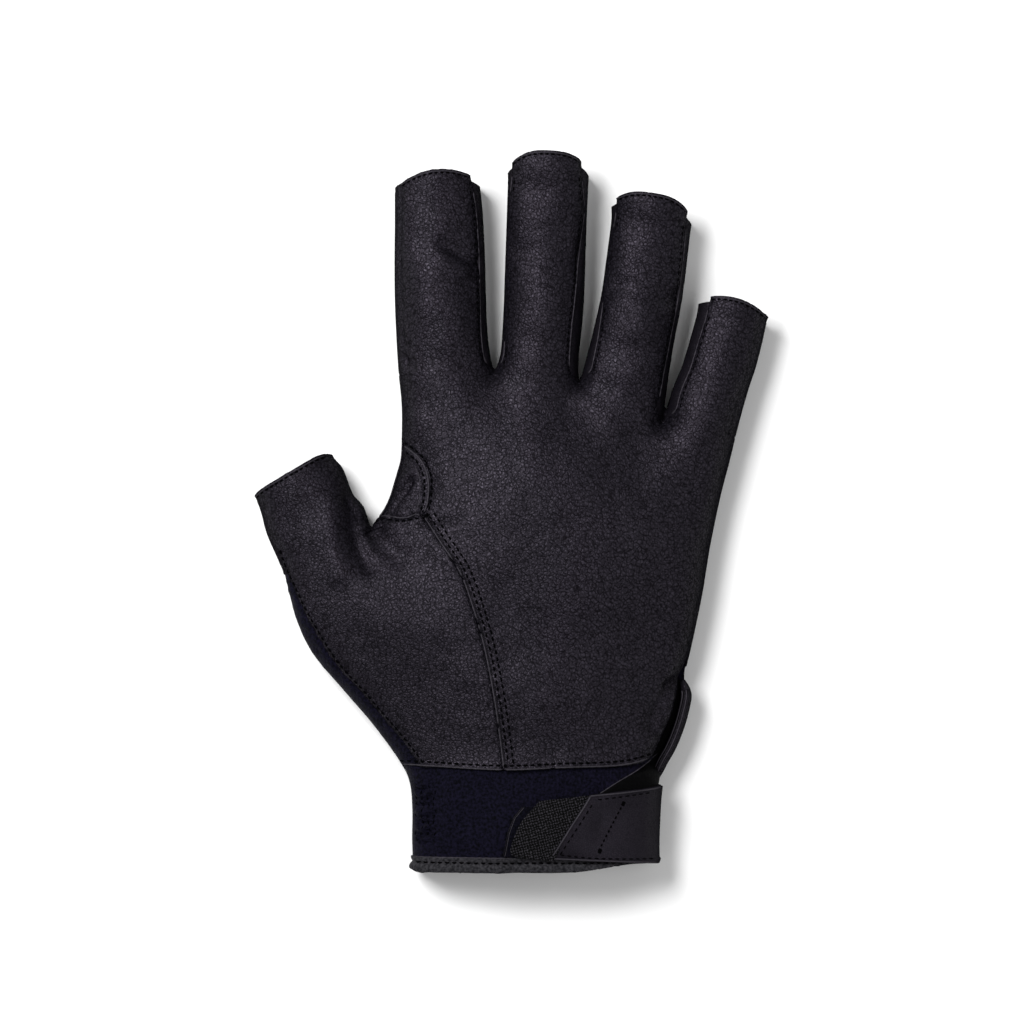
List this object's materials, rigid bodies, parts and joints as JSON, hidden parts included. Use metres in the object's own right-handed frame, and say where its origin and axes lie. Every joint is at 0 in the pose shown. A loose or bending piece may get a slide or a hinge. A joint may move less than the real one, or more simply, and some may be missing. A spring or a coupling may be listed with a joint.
{
  "type": "sailing glove",
  "caption": "Left sailing glove lying palm up: open-ended digits, grained leather palm, neoprene back, wrist slit and a hook-and-loop wrist strap.",
  "frame": {"origin": "middle of the overall box, on the surface that the glove's back lies on", "axes": "+X towards the little finger, +Y towards the fingertips, +Z out of the palm"},
  "size_m": [0.1489, 0.2101, 0.0274],
  "materials": {
    "palm_leather": "matte",
    "side_leather": "satin",
    "strap_leather": "satin",
    "neoprene": "matte",
    "binding": "matte",
    "hook_tape": "matte",
    "loop_tape": "matte",
    "elastic": "matte",
    "thread": "matte"
  },
  "bodies": {
    "palm": {"palm_panel": "palm_leather", "palm_hem": "binding", "thenar_panel": "palm_leather", "thumb_gusset": "side_leather", "thumb_side_wrap": "neoprene", "palm_back": "neoprene", "cuff_front": "neoprene", "cuff_back": "neoprene", "cuff_binding_front": "binding", "cuff_binding_back": "binding", "slit_binding": "binding", "slit_underlap": "side_leather", "wrist_elastic": "elastic", "loop_patch": "loop_tape", "strap_anchor": "strap_leather", "strap_side": "strap_leather", "index_crease": "palm_leather", "middle_crease": "palm_leather", "ring_crease": "palm_leather", "pinky_crease": "palm_leather", "thumb_crease": "palm_leather"},
    "strap": {"strap_leather": "strap_leather", "hook_tape": "hook_tape", "strap_bartacks": "thread"},
    "index": {"index_front": "palm_leather", "index_fourchette": "side_leather", "index_back": "neoprene", "index_hem": "binding"},
    "middle": {"middle_front": "palm_leather", "middle_fourchette_left": "side_leather", "middle_fourchette_right": "side_leather", "middle_back": "neoprene", "middle_hem": "binding"},
    "ring": {"ring_front": "palm_leather", "ring_fourchette_left": "side_leather", "ring_fourchette_right": "side_leather", "ring_back": "neoprene", "ring_hem": "binding"},
    "pinky": {"pinky_front": "palm_leather", "pinky_fourchette": "side_leather", "pinky_back": "neoprene", "pinky_hem": "binding"},
    "thumb": {"thumb_front": "palm_leather", "thumb_back": "neoprene", "thumb_hem": "binding"}
  },
  "joints": [
    {"name": "index_flex", "type": "hinge", "parent": "palm", "child": "index", "pos_m": [-0.0187, 0.0405, 0.012], "axis": [0.9994, 0.0349, 0], "range_deg": [0, 70], "deforming": ["index_crease"]},
    {"name": "middle_flex", "type": "hinge", "parent": "palm", "child": "middle", "pos_m": [0.0074, 0.0392, 0.012], "axis": [0.9984, -0.0558, 0], "range_deg": [0, 70], "deforming": ["middle_crease"]},
    {"name": "ring_flex", "type": "hinge", "parent": "palm", "child": "ring", "pos_m": [0.0321, 0.035, 0.012], "axis": [0.9885, -0.1513, 0], "range_deg": [0, 70], "deforming": ["ring_crease"]},
    {"name": "pinky_flex", "type": "hinge", "parent": "palm", "child": "pinky", "pos_m": [0.0548, 0.025, 0.012], "axis": [0.9563, -0.2924, 0], "range_deg": [0, 70], "deforming": ["pinky_crease"]},
    {"name": "thumb_flex", "type": "hinge", "parent": "palm", "child": "thumb", "pos_m": [-0.0534, -0.0115, 0.012], "axis": [0.891, 0.454, 0], "range_deg": [0, 60], "deforming": ["thumb_crease"]},
    {"name": "strap_peel", "type": "hinge", "parent": "palm", "child": "strap", "pos_m": [0.0432, -0.091, 0.012], "axis": [0, 1, 0], "range_deg": [0, 150]}
  ]
}
